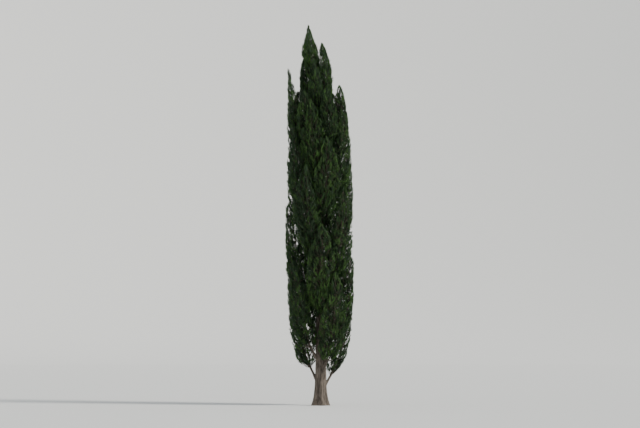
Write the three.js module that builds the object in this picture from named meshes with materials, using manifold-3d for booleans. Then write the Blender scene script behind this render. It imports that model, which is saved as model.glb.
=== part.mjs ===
// Pencil cypress: a tall narrow evergreen whose boughs climb almost straight up beside the trunk, each one
// carrying its own plume of dark scale-leaved sprays. Millimetres, +Z up, with the origin in the middle of the
// trunk's flat cut at ground level. The front is -Y, with +X to the right; the top leans to the left.

import * as THREE from "three";
import { mergeVertices } from "three/addons/utils/BufferGeometryUtils.js";
import Module from "manifold-3d";

const wasm = await Module();
wasm.setup();

// The whole tree
const HEIGHT = 12000;
const LEAN = 350; // how far left of its foot the tree's tip stands
const LEAN_START = 6500; // below this height the trunk is plumb
const LEAN_CURVE = 1.6;
const SWAY = 20; // how far the trunk wanders to either side of its line

// The trunk
const TRUNK_TOP = 9800; // where the leading plume takes over from it
const TRUNK_FOOT_RADIUS = 178;
const TRUNK_TOP_RADIUS = 24;
const TRUNK_TAPER = 0.85;
const FLARE = 110; // what the root flare adds to the radius at the ground
const FLARE_HEIGHT = 260;
const BUTTRESSES = 5; // rounded ribs that run up from the roots
const BUTTRESS_DEPTH = 0.13; // as a share of the radius, at the ground
const BUTTRESS_HEIGHT = 1500;
const TRUNK_SIDES = 20;
const TRUNK_STEPS = 16;

// The column of foliage: height above the ground, then its radius round the trunk's line
const COLUMN = [
  [700, 230],
  [1000, 520],
  [1500, 800],
  [2300, 980],
  [3600, 1070],
  [5200, 1080],
  [6600, 1065],
  [7500, 1035],
  [8500, 1010],
  [9650, 905],
  [10300, 850],
];

// The plumes that make up the column, by rule from the lowest to the highest
const COLUMN_PLUMES = 22;
const LOWEST_FOOT = 420;
const HIGHEST_FOOT = 6450;
const FOOT_SWING = 0.055; // sets the lowest and the highest feet closer together
const PLUME_LENGTH = 3400;
const PLUME_LENGTH_SPREAD = 500;
const FIRST_AZIMUTH = 25; // degrees
const GOLDEN_DEGREES = 137.508;
const AZIMUTH_JITTER = 8; // degrees
const PLUME_GIRTH = 0.49; // greatest radius of a plume, as a share of the column's radius
const TIP_REACH = 0.87; // how far out a plume's tip stands, as a share of the column's radius
const TIP_CLOSE = 0.8; // under 1 gives a blunt tip, over 1 a slender one
const SEED = 1931;

// The plumes that stand out at the top: where the tip is, the height of the foot, the greatest radius, where
// along its length the plume is widest, and how its tip closes
const STANDING_PLUMES = [
  { name: "foliage_right_top", tip: [50, -40, 11430], foot: 8500, girth: 270, belly: 0.55, close: 0.75 },
  { name: "foliage_back_top", tip: [-170, 320, 11120], foot: 8400, girth: 300, belly: 0.5, close: 0.8 },
  { name: "foliage_left_top", tip: [-510, 90, 10930], foot: 8450, girth: 270, belly: 0.5, close: 0.7 },
  { name: "foliage_front_top", tip: [-215, -300, 10900], foot: 8250, girth: 290, belly: 0.5, close: 0.8 },
  { name: "foliage_right_shoulder", tip: [605, -90, 10080], foot: 7050, girth: 390, belly: 0.5, close: 0.9 },
  { name: "foliage_left_spire", tip: [-1000, -130, 10600], foot: 7000, girth: 385, belly: 0.38, close: 1.2 },
  { name: "foliage_right_back", tip: [385, 490, 9900], foot: 7150, girth: 390, belly: 0.5, close: 0.8 },
  { name: "foliage_back_shoulder", tip: [-185, 730, 9980], foot: 7350, girth: 380, belly: 0.5, close: 0.8 },
  { name: "foliage_left_back", tip: [-700, 460, 9960], foot: 7200, girth: 380, belly: 0.5, close: 0.8 },
  { name: "foliage_left_front", tip: [-490, -650, 9850], foot: 7050, girth: 390, belly: 0.5, close: 0.8 },
  { name: "foliage_right_front", tip: [180, -645, 9930], foot: 7300, girth: 380, belly: 0.5, close: 0.8 },
];
const LEADING_PLUME = { name: "foliage_leader", girth: 350, belly: 0.42, close: 1.4, offset: -55 };

// What all plumes share
const CLIMB = 2.6; // how quickly a plume swings out from the trunk before it stands upright
const TIP_GIRTH = 16; // the room left at the very tip, for its last spray
const GAP = 16; // between two plumes
const LEAST_SHARE = 0.3; // of the way to a neighbour that a plume always keeps
const HEADROOM = 600; // height above a plume's tip over which its neighbours close in again
const CLOSE_IN = 0.3; // how steeply they do
const STEM_FOOT_RADIUS = 38; // where the trunk is stout
const STEM_OF_TRUNK = 0.4; // the most it has of the trunk's radius
const STEM_TIP_RADIUS = 9;
const STEM_END = 0.9; // where the stem ends, as a share of the plume's length
const STEM_SIDES = 6;
const STEM_STEPS = 8;
const CORE_SHARE = 0.9; // the dense core's radius towards the plume's neighbours, as a share of the plume's own
const CORE_OPEN = 0.24; // how much less of it the core fills on the outward side, where the sprays stand
const CORE_SIDES = 8;
const CORE_STEPS = 7;
const CORE_END = 0.25; // how far the core closes at its ends
const CORE_LEAST_ROOM = 34;

// Boughs: the bare lower ends of the lowest limbs
const BOUGHS = 8;
const BOUGH_SHARE = 0.16; // of the plume's length
const JOIN_GAP = 0.3; // between a limb's end and what goes on from it

// Twigs, each with a spray at its end
const TWIG_SPACING = 225; // of height, for one plume
const TWIG_START = 0.1;
const TWIG_END = 0.9;
const TWIG_SIDE_DEGREES = 100; // how far round from the outward side the twigs grow
const TWIG_RISE = 240;
const TWIG_REACH = 0.82;
const TWIG_FOOT_RADIUS = 16;
const TWIG_TIP_RADIUS = 9;
const SPRAY_RISE = 400; // of a spray's tip above its twig's end
const SPRAY_RISE_SPREAD = 160;
const SPRAY_TURN = 18; // degrees that a spray may lean to one side
const SPRAY_SUNK = 0.1; // of the twig's length that the spray's root goes back along it
const SPRAY_REACH = 0.985;
const SPRAY_WIDTH = 0.42; // of its length
const SPRAY_THICKNESS = 0.17;
const SPRAY_WIDEST = 0.38;
const SPRAY_LEAST_LENGTH = 170;
const SPRAY_TRIES = [1, 0.8, 0.6, 0.4]; // narrower where the full width would leave the plume's space
const TIP_SPRAY_TRIES = [0.6, 0.45, 0.3, 0.2, 0.1];
const EDGE_ROOM = 3; // what every corner of a twig or spray keeps to the plume's limit

const RADIANS = Math.PI / 180;

// Seeded random numbers from 0 to 1, the same in every run.
function dice(seed) {
  let state = seed;
  return () => {
    state = (state * 48271) % 2147483647;
    return state / 2147483647;
  };
}

// The line through a table of pairs, at x.
function along(table, x) {
  const next = table.findIndex((row) => row[0] >= x);
  if (next === 0) return table[0][1];
  if (next < 0) return table[table.length - 1][1];
  const [x0, y0] = table[next - 1];
  const [x1, y1] = table[next];
  return y0 + ((y1 - y0) * (x - x0)) / (x1 - x0);
}

// The trunk's line, which the column of foliage follows too.
function axis(z) {
  const share = Math.max(0, z - LEAN_START) / (HEIGHT - LEAN_START);
  const x = SWAY * Math.sin(z / 1150) - LEAN * share ** LEAN_CURVE;
  const y = SWAY * Math.sin(z / 1600);
  return new THREE.Vector2(x, y);
}

function trunkRadius(z) {
  const share = Math.min(1, z / TRUNK_TOP);
  const taper = TRUNK_TOP_RADIUS + (TRUNK_FOOT_RADIUS - TRUNK_TOP_RADIUS) * (1 - share) ** TRUNK_TAPER;
  return taper + FLARE * Math.exp(-z / FLARE_HEIGHT);
}

// How far the trunk's ribs push its surface out or in, as a factor.
function buttress(angle, z) {
  const fade = Math.exp(-z / BUTTRESS_HEIGHT);
  return 1 + BUTTRESS_DEPTH * fade * Math.cos(BUTTRESSES * angle + z / 2600);
}

// All the plumes, from the foot of the crown to its tip. A plume swings out along its azimuth to its reach.
function layOutPlumes() {
  const draw = dice(SEED);
  const plumes = [];
  for (let k = 0; k < COLUMN_PLUMES; k += 1) {
    const step = k / (COLUMN_PLUMES - 1);
    const share = step - FOOT_SWING * Math.sin(2 * Math.PI * step);
    const foot = LOWEST_FOOT + (HIGHEST_FOOT - LOWEST_FOOT) * share;
    const top = foot + PLUME_LENGTH + PLUME_LENGTH_SPREAD * (draw() - 0.5);
    const turn = FIRST_AZIMUTH + GOLDEN_DEGREES * k + AZIMUTH_JITTER * (2 * draw() - 1);
    const belly = 0.42 + 0.12 * draw();
    plumes.push({
      name: `foliage_${String(k + 1).padStart(2, "0")}`,
      foot,
      top,
      azimuth: turn * RADIANS,
      reach: along(COLUMN, top) * TIP_REACH,
      girth: along(COLUMN, (foot + top) / 2) * PLUME_GIRTH,
      belly,
      close: TIP_CLOSE,
      boughTop: k < BOUGHS ? foot + BOUGH_SHARE * (top - foot) : foot,
    });
  }
  for (const { name, tip, foot, girth, belly, close } of STANDING_PLUMES) {
    const out = new THREE.Vector2(tip[0], tip[1]).sub(axis(tip[2]));
    plumes.push({
      name,
      foot,
      top: tip[2],
      azimuth: out.angle(),
      reach: out.length(),
      girth,
      belly,
      close,
      boughTop: foot,
    });
  }
  plumes.push({
    name: LEADING_PLUME.name,
    foot: TRUNK_TOP + JOIN_GAP,
    top: HEIGHT,
    azimuth: 0,
    reach: 0,
    offset: LEADING_PLUME.offset,
    girth: LEADING_PLUME.girth,
    belly: LEADING_PLUME.belly,
    close: LEADING_PLUME.close,
    leads: true,
    boughTop: TRUNK_TOP + JOIN_GAP,
  });
  return plumes;
}

const plumes = layOutPlumes();

function life(plume, z) {
  return (z - plume.foot) / (plume.top - plume.foot);
}

// The middle of a plume at height z.
function centre(plume, z) {
  const t = Math.min(1, Math.max(0, life(plume, z)));
  const middle = axis(z);
  if (plume.leads) return middle.add(new THREE.Vector2(plume.offset * Math.sin(Math.PI * t), 0));
  const out = plume.reach * (1 - (1 - t) ** CLIMB);
  return middle.add(new THREE.Vector2(Math.cos(plume.azimuth), Math.sin(plume.azimuth)).multiplyScalar(out));
}

// A plume's own radius at height z: a flame that swells from its foot to its belly and closes to a point.
function girth(plume, z) {
  const t = Math.min(1, Math.max(0, life(plume, z)));
  const swell = t < plume.belly ? t / plume.belly : (1 - t) / (1 - plume.belly);
  const power = t < plume.belly ? 0.9 : plume.close;
  return TIP_GIRTH + (plume.girth - TIP_GIRTH) * Math.sin((Math.PI / 2) * swell) ** power;
}

function stemRadius(plume, z) {
  const t = Math.max(0, life(plume, z));
  const foot = Math.min(STEM_FOOT_RADIUS, STEM_OF_TRUNK * trunkRadius(plume.foot));
  return STEM_TIP_RADIUS + Math.max(0, (foot - STEM_TIP_RADIUS) * (1 - t / STEM_END));
}

// How far inside its plume's own space a point is, in mm. Two plumes part where their circles cross, but
// each keeps a least share of the way between them, and every plume keeps to its own side of the trunk.
function roomAt(plume, x, y, z) {
  if (z < plume.foot - 1 || z > plume.top + 1) return -1;
  const r = girth(plume, z);
  const c = centre(plume, z);
  const dx = x - c.x;
  const dy = y - c.y;
  let room = r - Math.hypot(dx, dy);
  for (const other of plumes) {
    if (other === plume || z < other.foot || z > other.top + HEADROOM) continue;
    const o = centre(other, z).sub(c);
    const apart = Math.max(1, o.length());
    const theirs = girth(other, z);
    const crossing = (apart + (r * r - theirs * theirs) / apart) / 2;
    const fair = Math.max(LEAST_SHARE * apart, Math.min((1 - LEAST_SHARE) * apart, crossing));
    const parting = Math.max(fair, apart - theirs);
    const nearest = stemRadius(plume, z) + GAP;
    const furthest = apart - stemRadius(other, z) - GAP;
    const above = CLOSE_IN * Math.max(0, z - other.top);
    const limit = Math.max(nearest, Math.min(furthest, parting)) + above - GAP / 2;
    room = Math.min(room, limit - (dx * o.x + dy * o.y) / apart);
  }
  const middle = axis(z);
  if (!plume.leads && z < TRUNK_TOP + GAP) {
    const out = c.clone().sub(middle).normalize();
    const side = (x - middle.x) * out.x + (y - middle.y) * out.y;
    room = Math.min(room, side - trunkRadius(z) * (1 + BUTTRESS_DEPTH) - GAP);
  }
  return Math.min(room, along(COLUMN, z) - Math.hypot(x - middle.x, y - middle.y));
}

// How far a plume reaches from its middle at height z, in the direction of an angle.
function reachAt(plume, z, angle) {
  const c = centre(plume, z);
  if (roomAt(plume, c.x, c.y, z) <= 0) return 0;
  let inside = 0;
  let outside = girth(plume, z);
  for (let halving = 0; halving < 14; halving += 1) {
    const middle = (inside + outside) / 2;
    const room = roomAt(plume, c.x + middle * Math.cos(angle), c.y + middle * Math.sin(angle), z);
    if (room > 0) inside = middle;
    else outside = middle;
  }
  return inside;
}

// The point of a plume at height z that lies at a share of its reach in the direction of an angle.
function pointAt(plume, z, angle, share) {
  const c = centre(plume, z);
  const out = share * reachAt(plume, z, angle);
  return new THREE.Vector3(c.x + out * Math.cos(angle), c.y + out * Math.sin(angle), z);
}

// A closed upright tube whose rows lie level. place gives the point for an angle, a share of the way up, and
// 0 on the middle line or 1 on the wall.
function upright(sides, steps, place) {
  const geometry = new THREE.CylinderGeometry(1, 1, 1, sides, steps).rotateX(Math.PI / 2);
  const position = geometry.getAttribute("position");
  for (let i = 0; i < position.count; i += 1) {
    const x = position.getX(i);
    const y = position.getY(i);
    const point = place(Math.atan2(y, x), position.getZ(i) + 0.5, Math.round(Math.hypot(x, y)));
    position.setXYZ(i, point.x, point.y, point.z);
  }
  return geometry;
}

// A limb with level round sections that follows a plume's middle from one height to another.
function limb(plume, low, high, sides, steps) {
  return upright(sides, steps, (angle, share, wall) => {
    const z = low + share * (high - low);
    const c = centre(plume, z);
    const r = wall * stemRadius(plume, z);
    return new THREE.Vector3(c.x + r * Math.cos(angle), c.y + r * Math.sin(angle), z);
  });
}

function trunk(clearance) {
  return upright(TRUNK_SIDES, TRUNK_STEPS, (angle, share, wall) => {
    const z = TRUNK_TOP * share ** 1.5 + (share === 1 ? clearance : 0);
    const middle = axis(z);
    const r = wall * (trunkRadius(z) * buttress(angle, z) + clearance);
    return new THREE.Vector3(middle.x + r * Math.cos(angle), middle.y + r * Math.sin(angle), z);
  });
}

// A geometry as a solid that can be joined and cut.
function solid(geometry) {
  const bare = geometry.clone();
  bare.deleteAttribute("normal");
  bare.deleteAttribute("uv");
  const merged = mergeVertices(bare, 1e-3);
  return new wasm.Manifold(
    new wasm.Mesh({
      numProp: 3,
      vertProperties: merged.getAttribute("position").array,
      triVerts: new Uint32Array(merged.index.array),
    }),
  );
}

// The largest body of a solid, as a geometry. Loose scraps and sealed hollows are left behind.
function geometryOf(made) {
  const bodies = made.decompose().sort((a, b) => b.volume() - a.volume());
  const mesh = bodies[0].getMesh();
  return new THREE.BufferGeometry()
    .setAttribute("position", new THREE.BufferAttribute(mesh.vertProperties, 3))
    .setIndex(new THREE.BufferAttribute(mesh.triVerts, 1));
}

// True if the corners of a geometry's faces, and points along their edges, lie in its plume's space.
function fits(plume, geometry) {
  const faces = geometry.index ? geometry.toNonIndexed() : geometry;
  const corners = [0, 1, 2].map(() => new THREE.Vector3());
  const count = faces.getAttribute("position").count;
  for (let i = 0; i < count; i += 3) {
    corners.forEach((corner, k) => corner.fromBufferAttribute(faces.getAttribute("position"), i + k));
    for (let k = 0; k < 12; k += 1) {
      const { x, y, z } = corners[k % 3].clone().lerp(corners[(k + 1) % 3], Math.floor(k / 3) / 4);
      if (roomAt(plume, x, y, z) < EDGE_ROOM) return false;
    }
  }
  return true;
}

// The dense inner foliage of a plume.
function core(plume) {
  const span = plume.top - plume.foot;
  const roomy = (z) => {
    const c = centre(plume, z);
    return roomAt(plume, c.x, c.y, z) > CORE_LEAST_ROOM;
  };
  let low = plume.boughTop + 0.02 * span;
  while (!roomy(low) && low < plume.top) low += 0.01 * span;
  let high = plume.top;
  while (!roomy(high) && high > low) high -= 0.01 * span;
  return upright(CORE_SIDES, CORE_STEPS, (angle, share, wall) => {
    const z = low + share * (high - low);
    const open = plume.leads ? 0.5 : Math.max(0, Math.cos(angle - plume.azimuth));
    const close = CORE_END + (1 - CORE_END) * Math.max(0, Math.sin(Math.PI * share)) ** 0.3;
    return pointAt(plume, z, angle, wall * close * (CORE_SHARE - CORE_OPEN * open));
  });
}

// A three-sided twig between two points.
function twig(from, to) {
  const way = to.clone().sub(from);
  const turn = new THREE.Quaternion().setFromUnitVectors(new THREE.Vector3(0, 1, 0), way.clone().normalize());
  return new THREE.CylinderGeometry(TWIG_TIP_RADIUS, TWIG_FOOT_RADIUS, way.length(), 3)
    .applyQuaternion(turn)
    .translate((from.x + to.x) / 2, (from.y + to.y) / 2, (from.z + to.z) / 2);
}

// A spray of scale-leaved shoots, drawn together into one slim eight-sided blade with its flat side outwards.
function spray(root, tip, outward, share) {
  const length = root.distanceTo(tip);
  const up = tip.clone().sub(root).divideScalar(length);
  const flat = outward.clone().addScaledVector(up, -outward.dot(up)).normalize();
  const side = up.clone().cross(flat);
  const basis = new THREE.Matrix4().makeBasis(
    side.multiplyScalar(share * SPRAY_WIDTH * length * 0.5),
    up.clone().multiplyScalar(length),
    flat.multiplyScalar(share * SPRAY_THICKNESS * length * 0.5),
  );
  const blade = new THREE.OctahedronGeometry(1, 0);
  const position = blade.getAttribute("position");
  for (let i = 0; i < position.count; i += 1) {
    const y = position.getY(i);
    position.setY(i, y > 0.5 ? 1 : y < -0.5 ? 0 : SPRAY_WIDEST);
  }
  return blade.applyMatrix4(basis).translate(root.x, root.y, root.z);
}

// The broadest spray of some tries that keeps to the plume's space, if any does.
function broadest(plume, root, tip, outward, tries) {
  return tries.map((share) => spray(root, tip, outward, share)).find((blade) => fits(plume, blade));
}

// The twigs and sprays of a plume, which climb round its outward side by a fixed turn.
function twigsAndSprays(plume) {
  const pieces = [];
  const span = plume.top - plume.foot;
  const draw = dice(SEED + Math.round(plume.top));
  const count = Math.round(((TWIG_END - TWIG_START) * span) / TWIG_SPACING);
  const turns = plume.leads ? 180 : TWIG_SIDE_DEGREES;
  for (let n = 0; n < count; n += 1) {
    const t = TWIG_START + ((TWIG_END - TWIG_START) * (n + draw())) / count;
    const low = Math.max(plume.foot + t * span - TWIG_RISE, plume.boughTop + 30);
    const high = Math.min(low + TWIG_RISE, plume.top - 200);
    const side = ((((n + 0.5) * GOLDEN_DEGREES) / 360) % 1) * 2 - 1;
    const angle = plume.azimuth + side * turns * RADIANS;
    const lean = SPRAY_TURN * (2 * draw() - 1);
    const rise = SPRAY_RISE + SPRAY_RISE_SPREAD * (draw() - 0.5);
    const from = pointAt(plume, low, angle, 0);
    const to = pointAt(plume, high, angle, TWIG_REACH);
    const stick = twig(from, to);
    if (!fits(plume, stick)) continue;
    const root = to.clone().lerp(from, SPRAY_SUNK);
    const tip = pointAt(plume, Math.min(high + rise, plume.top - 30), angle + lean * RADIANS, SPRAY_REACH);
    if (root.distanceTo(tip) < SPRAY_LEAST_LENGTH) continue;
    const outward = new THREE.Vector3(Math.cos(angle), Math.sin(angle), 0);
    const blade = broadest(plume, root, tip, outward, SPRAY_TRIES);
    if (blade) pieces.push(stick, blade);
  }
  return pieces;
}

// The last spray of a plume, which carries its stem on to the very tip.
function tipSpray(plume) {
  const span = plume.top - plume.foot;
  const low = plume.foot + (STEM_END - 0.06) * span;
  const c = centre(plume, low);
  const t = centre(plume, plume.top);
  const root = new THREE.Vector3(c.x, c.y, low);
  const tip = new THREE.Vector3(t.x, t.y, plume.top);
  const outward = new THREE.Vector3(Math.cos(plume.azimuth), Math.sin(plume.azimuth), 0);
  return broadest(plume, root, tip, outward, TIP_SPRAY_TRIES);
}

// One plume of foliage: its stem, core, twigs and sprays as one body, clear of the trunk.
function foliage(plume, trunkSpace) {
  const stemFoot = plume.boughTop > plume.foot ? plume.boughTop + JOIN_GAP : plume.foot;
  const stemTop = plume.foot + STEM_END * (plume.top - plume.foot);
  const pieces = [
    limb(plume, stemFoot, stemTop, STEM_SIDES, STEM_STEPS),
    core(plume),
    tipSpray(plume),
    ...twigsAndSprays(plume),
  ];
  return wasm.Manifold.union(pieces.map(solid)).subtract(trunkSpace);
}

const bark = new THREE.MeshStandardMaterial({ color: 0x6b5e50, roughness: 0.95, metalness: 0 });
const needles = new THREE.MeshStandardMaterial({ color: 0x2c3d20, roughness: 0.85, metalness: 0 });

const tree = new THREE.Group();

function addNode(name, geometry, material) {
  const mesh = new THREE.Mesh(geometry, material);
  mesh.name = name;
  tree.add(mesh);
}

const trunkSpace = solid(trunk(JOIN_GAP));
addNode("trunk", trunk(0), bark);
for (const [k, plume] of plumes.slice(0, BOUGHS).entries()) {
  const bough = solid(limb(plume, plume.foot, plume.boughTop, STEM_SIDES + 2, 3)).subtract(trunkSpace);
  addNode(`bough_${k + 1}`, geometryOf(bough), bark);
}
for (const plume of plumes) addNode(plume.name, geometryOf(foliage(plume, trunkSpace)), needles);

export default tree;
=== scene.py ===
"""Pencil cypress: a tall narrow evergreen whose boughs climb almost straight up beside the trunk, each one
carrying its own plume of dark scale-leaved sprays. The trunk and limbs get their bark, and every mass of
foliage is grown out into twigs, shoots and sprays inside the same reach."""

import functools
import math
from typing import NamedTuple

import bpy
import numpy as np
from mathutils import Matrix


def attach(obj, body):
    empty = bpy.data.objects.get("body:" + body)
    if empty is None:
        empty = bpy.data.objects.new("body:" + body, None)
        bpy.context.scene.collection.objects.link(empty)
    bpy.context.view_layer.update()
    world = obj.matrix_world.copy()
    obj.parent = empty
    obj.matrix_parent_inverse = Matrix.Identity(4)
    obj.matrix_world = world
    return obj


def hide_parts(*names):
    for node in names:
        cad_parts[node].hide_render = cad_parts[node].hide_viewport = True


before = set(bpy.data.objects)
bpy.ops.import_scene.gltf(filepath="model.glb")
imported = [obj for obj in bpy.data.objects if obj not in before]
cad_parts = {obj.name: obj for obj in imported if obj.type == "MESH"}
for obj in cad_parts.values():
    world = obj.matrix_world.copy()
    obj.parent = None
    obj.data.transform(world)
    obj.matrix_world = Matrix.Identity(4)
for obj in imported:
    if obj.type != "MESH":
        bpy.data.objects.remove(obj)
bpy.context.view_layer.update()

bl_info = {
    "name": "Pencil Cypress",
    "version": (1, 0, 0),
    "blender": (4, 5, 0),
    "location": "View3D > Sidebar > Cypress",
    "description": "Grows the bark, limbs, twigs and sprays of a pencil cypress over its solids",
    "category": "Add Mesh",
}

MM = 0.001

# The whole tree, in millimetres, as in the solids
HEIGHT = 12000
LEAN = 350
LEAN_START = 6500
LEAN_CURVE = 1.6
SWAY = 20
SWAY_LENGTH = (1150, 1600)

# The trunk
TRUNK_TOP = 9800
TRUNK_FOOT_RADIUS = 178
TRUNK_TOP_RADIUS = 24
TRUNK_TAPER = 0.85
FLARE = 110
FLARE_HEIGHT = 260
BUTTRESSES = 5
BUTTRESS_DEPTH = 0.13
BUTTRESS_HEIGHT = 1500
BUTTRESS_TWIST = 2600

# The column of foliage: height above the ground, then its radius round the trunk's line
COLUMN = np.array([
    [700, 230], [1000, 520], [1500, 800], [2300, 980], [3600, 1070], [5200, 1080],
    [6600, 1065], [7500, 1035], [8500, 1010], [9650, 905], [10300, 850],
], float)

# The plumes that make up the column
COLUMN_PLUMES = 22
LOWEST_FOOT = 420
HIGHEST_FOOT = 6450
FOOT_SWING = 0.055
PLUME_LENGTH = 3400
PLUME_LENGTH_SPREAD = 500
FIRST_AZIMUTH = 25
GOLDEN_DEGREES = 137.508
AZIMUTH_JITTER = 8
PLUME_GIRTH = 0.49
TIP_REACH = 0.87
TIP_CLOSE = 0.8
BELLY = 0.42
BELLY_SPREAD = 0.12
SEED = 1931

# The plumes that stand out at the top: name, tip, height of the foot, greatest radius, the share of its
# length where it is widest, and how its tip closes
STANDING_PLUMES = [
    ("right_top", (50, -40, 11430), 8500, 270, 0.55, 0.75),
    ("back_top", (-170, 320, 11120), 8400, 300, 0.5, 0.8),
    ("left_top", (-510, 90, 10930), 8450, 270, 0.5, 0.7),
    ("front_top", (-215, -300, 10900), 8250, 290, 0.5, 0.8),
    ("right_shoulder", (605, -90, 10080), 7050, 390, 0.5, 0.9),
    ("left_spire", (-1000, -130, 10600), 7000, 385, 0.38, 1.2),
    ("right_back", (385, 490, 9900), 7150, 390, 0.5, 0.8),
    ("back_shoulder", (-185, 730, 9980), 7350, 380, 0.5, 0.8),
    ("left_back", (-700, 460, 9960), 7200, 380, 0.5, 0.8),
    ("left_front", (-490, -650, 9850), 7050, 390, 0.5, 0.8),
    ("right_front", (180, -645, 9930), 7300, 380, 0.5, 0.8),
]
LEADING_GIRTH = 350
LEADING_BELLY = 0.42
LEADING_CLOSE = 1.4
LEADING_OFFSET = -55

# What all plumes share
CLIMB = 2.6
SWELL = 0.9
TIP_GIRTH = 16
GAP = 16
LEAST_SHARE = 0.3
HEADROOM = 600
CLOSE_IN = 0.3
STEM_FOOT_RADIUS = 38
STEM_OF_TRUNK = 0.4
STEM_TIP_RADIUS = 9
STEM_END = 0.9
BOUGHS = 8
BOUGH_SHARE = 0.16
JOIN_GAP = 0.3

# The table of each plume's reach, on a grid of heights and angles
REACH_ROWS = 70
REACH_ANGLES = 48
REACH_HALVINGS = 12

# How many twigs a plume bears: more where it is wide, and more in the slender plumes at the top
WIDTH_ROWS = 200
WIDTH_ANGLES = 16
LEAST_WIDTH = 30
CROWDING = 1.3
STANDING_DENSITY = 1.35
FULL_GIRTH = 390
SLENDER_POWER = 1.5
LEADER_DENSITY = 2.6

# Twigs: how much they lean to the plume's own way out, how far out they end as a share of its reach, how
# much they rise, and the knee at which they turn upwards
OUTWARD = 0.6
TIP_ABOVE_BOUGH = 60
ROOT_ABOVE_BOUGH = 5
TWIG_JITTER = 0.05
TWIG_END = 0.9
TWIG_SHORTER = 0.36
TWIG_SHORTER_POWER = 1.7
TWIG_RISE = 260
TWIG_RISES = (0.7, 1.5)
KNEE_UP = 0.3
KNEE_OUT = 0.62
KNEE_PULL = 0.55
TIP_UPRIGHT = 0.25

# Shoots: where they leave the twig, how far they swing round and rise from its tip, and their share of the
# plume's reach
SHOOTS = 4
SHOOT_START = 0.52
SHOOT_START_SPREAD = 0.05
SHOOT_SWING = 66
LEAST_SWING_RADIUS = 60
MOST_SHOOT_TURN = 0.7
SHOOT_RISES = (-20, 190)
SHOOT_DROP = 120
SHOOT_SHARES = (-0.1, 0.14)
SHOOT_SHARE_LIMITS = (0.3, 0.95)
SHOOT_HEADROOM = 25

# Sprays: where they sit on the shoot, their length and rise, how far they swing round, and how far out they
# lift
SPRAYS_PER_SHOOT = 2
LOWEST_SPRAY = 0.45
SPRAY_PLACE_SPREAD = 0.12
SPRAY_LENGTHS = (0.7, 1.25)
SPRAY_RISES = (0.72, 0.98)
SPRAY_SWING = 46
MOST_SPRAY_TURN = 0.6
SPRAY_LIFTS = (-0.02, 0.22)
MOST_REACH = 0.985
REACH_SPREAD = 0.12
REACH_SPREAD_POWER = 1.5

# Inner sprays, on stalks from the stem: how many for each twig, and where they sit and end
INNER_SHARE = 2.2
INNER_DROPS = (80, 320)
INNER_LOOK_UP = 100
INNER_AREAS = (0.12, 0.85)
INNER_RISES = (120, 300)
INNER_ROOT = 0.4
STALK_RISE = 60
STALK_OVERLAP = 0.1

# The blades of a spray one long: how many, their half width, their shape, how they leave the middle one, and
# the seed of the first piece
SPRAY_TEMPLATES = 12
SPRAY_SEED = SEED + 100
SPRAY_BLADES = 7
SPRAY_WIDTH = 0.057
INNER_BLADES = 5
INNER_WIDTH = 0.062
BLADE_FACES = 4
BLADE_BELLY = 0.3
BLADE_KEEL = 0.6
BLADE_FOOT = 0.06
BLADE_SPAN = 0.6
BLADE_PLACE_SPREAD = 0.8
BLADE_TURN_SPREAD = 0.4
BLADE_LEANS = (24, 46)
BLADE_LONGEST = 0.56
BLADE_SHORTENING = 0.42
BLADE_LENGTHS = (0.85, 1.2)
BLADE_WIDTHS = (0.8, 1.2)
MIDDLE_BLADE_WIDTH = 0.9
SHORTEST_SPRAY = 40

# How far a spray may stand out past the column's wall
OVERHANG = 45

# Twigs, shoots and limbs as meshes
TWIG_RADII = np.array([8.0, 6.5, 5.0, 3.2])
TWIG_SIDES = 3
SHOOT_RADIUS = 4.0
LIMB_STEPS = 34
LIMB_SIDES = 12
LIMB_KNOTS = ((0.06, 70, 1), (0.05, 31, 2))
LIMB_APART = 1000
COLLAR = 0.6
COLLAR_LENGTH = 45

# The trunk's bark: its net, each size of furrow as its cells round, the length of one, its width and weight,
# the sines by which it wanders, and its relief
BARK_AROUND = 252
BARK_FINE_TOP = 2700
BARK_FINE_ROWS = 120
BARK_HIGH_ROWS = 60
BARK_FURROWS = ((29, 460, 0.26, 0.46), (53, 240, 0.4, 0.32), (97, 120, 0.6, 0.22))
BARK_WANDER = ((0.06, 900, 0), (0.042, 310, 1))
BARK_STRIP_POWER = 0.8
BARK_LEVEL = 0.75
FULL_BARK_RADIUS = 160
LEAST_BARK = 0.25
UNROLLED_RADIUS = 200

# The bark's paint: how fine its grain is, how its noise is stretched, what each part adds to its level, and
# where on that level its colours stand
TRUNK_GRAIN = 30
LIMB_GRAIN = 60
TWIG_GRAIN = 90
STRIP_STRETCH = 0.08
STRIP_SHARPNESS = 9
FIBRE_FINENESS = 4
FIBRE_STRETCH = 0.22
PATCH_SCALE = 3.1
STRIP_LEVEL = 0.3
FIBRE_LEVEL = 0.75
PATCH_LEVEL = 0.08
LEVEL_DROP = 0.14
FURROW_LEVEL = 0.16
FURROW_DROP = 0.11
BARK_STOPS = (0.28, 0.44, 0.58, 0.72)
PALER = 1.35

# The tones of the sprays, from the darkest, with the waxy grey last
# Up to the grey, the tones are shaded and lit copies of one green: painted shade on the inner sprays,
# painted light on the outer ones, along with older foliage inside and young tips outside
TONES = ("shade", "deep", "mid", "olive", "fresh", "grey")
GREY = TONES.index("grey")
SPRAY_PIECES = 6
INNER_DEEP_SHARE = 0.35
PLUME_TONE_START = 0.3
PLUME_TONE_STEP = 0.618
TONE_BASE = -0.5
TONE_OF_DEPTH = 8.5
DARKEST_DEPTH = 0.62
TONE_OF_PLUME = 1.9
TONE_OF_TUFT = 0.95
TONE_OF_SPRAY = 0.5
GREY_SHARE = 0.1
GREY_PLUME_SHARE = 0.35
GREY_PLUMES = 0.7

# The floor, a disc that curves up into a low wall far out, in metres
FLOOR_SIDES = 96
FLOOR_FLAT = 90
FLOOR_CURVE = 80
FLOOR_WALL = 60
FLOOR_RADII = np.concatenate([np.linspace(0.5, FLOOR_FLAT, 12),
                              np.linspace(95, FLOOR_FLAT + FLOOR_CURVE, 26)])

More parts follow.
